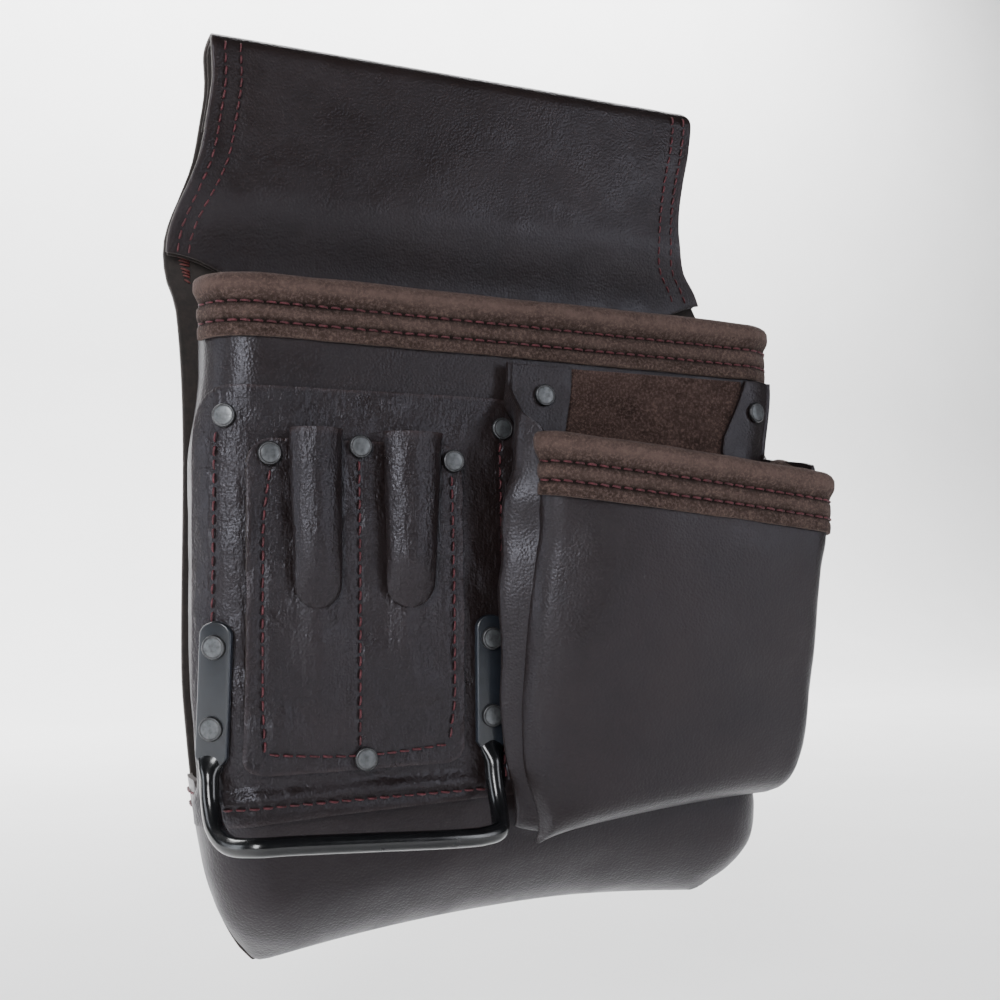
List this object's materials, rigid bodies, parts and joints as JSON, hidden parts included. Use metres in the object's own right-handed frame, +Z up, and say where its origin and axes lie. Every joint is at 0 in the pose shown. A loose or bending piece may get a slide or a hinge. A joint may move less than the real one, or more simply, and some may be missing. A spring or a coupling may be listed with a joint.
{
  "type": "tool pouch",
  "caption": "Leather electrician's tool pouch for a belt: deep main bag, small front bag, layered tool patches, pen sleeves and a steel hammer loop.",
  "frame": {"origin": "centre of the belt tunnel", "axes": "+Z up; +Y towards the wearer, out of the rear face; +X to the right when the front is looked at"},
  "size_m": [0.2615, 0.0971, 0.3649],
  "materials": {
    "leather": "waxed full grain, satin",
    "patch": "wrinkled full grain, satin",
    "suede": "napped suede, matt",
    "lining": "flesh side, matt",
    "thread": "waxed burgundy thread",
    "rivet": "dark pewter plating, satin",
    "loop_steel": "blue-black lacquer, glossy"
  },
  "bodies": {
    "root": {"back_panel": "leather", "belt_loop_lining": "lining", "main_bag_front": "leather", "main_gusset_left": "leather", "main_gusset_right": "leather", "main_bag_boot": "leather", "main_rim_binding": "suede", "small_bag_back": "suede", "small_bag_front": "leather", "small_gusset_left": "leather", "small_gusset_right": "leather", "small_rim_binding": "suede", "outer_tool_patch": "patch", "inner_tool_patch": "patch", "pen_sleeve_left": "patch", "pen_sleeve_right": "patch", "hammer_loop": "loop_steel", "rivet_outer_patch_left": "rivet", "rivet_outer_patch_right": "rivet", "rivet_inner_patch_left": "rivet", "rivet_inner_patch_centre": "rivet", "rivet_inner_patch_right": "rivet", "rivet_inner_patch_bottom": "rivet", "rivet_loop_left_upper": "rivet", "rivet_loop_left_lower": "rivet", "rivet_loop_right_upper": "rivet", "rivet_loop_right_lower": "rivet", "rivet_ear_left": "rivet", "rivet_ear_right": "rivet", "burr_outer_patch_left": "rivet", "burr_outer_patch_right": "rivet", "burr_inner_patch_left": "rivet", "burr_inner_patch_centre": "rivet", "burr_inner_patch_right": "rivet", "burr_inner_patch_bottom": "rivet", "burr_loop_left_upper": "rivet", "burr_loop_left_lower": "rivet", "burr_loop_right_upper": "rivet", "burr_loop_right_lower": "rivet", "burr_ear_left": "rivet", "burr_ear_right": "rivet"}
  },
  "joints": []
}
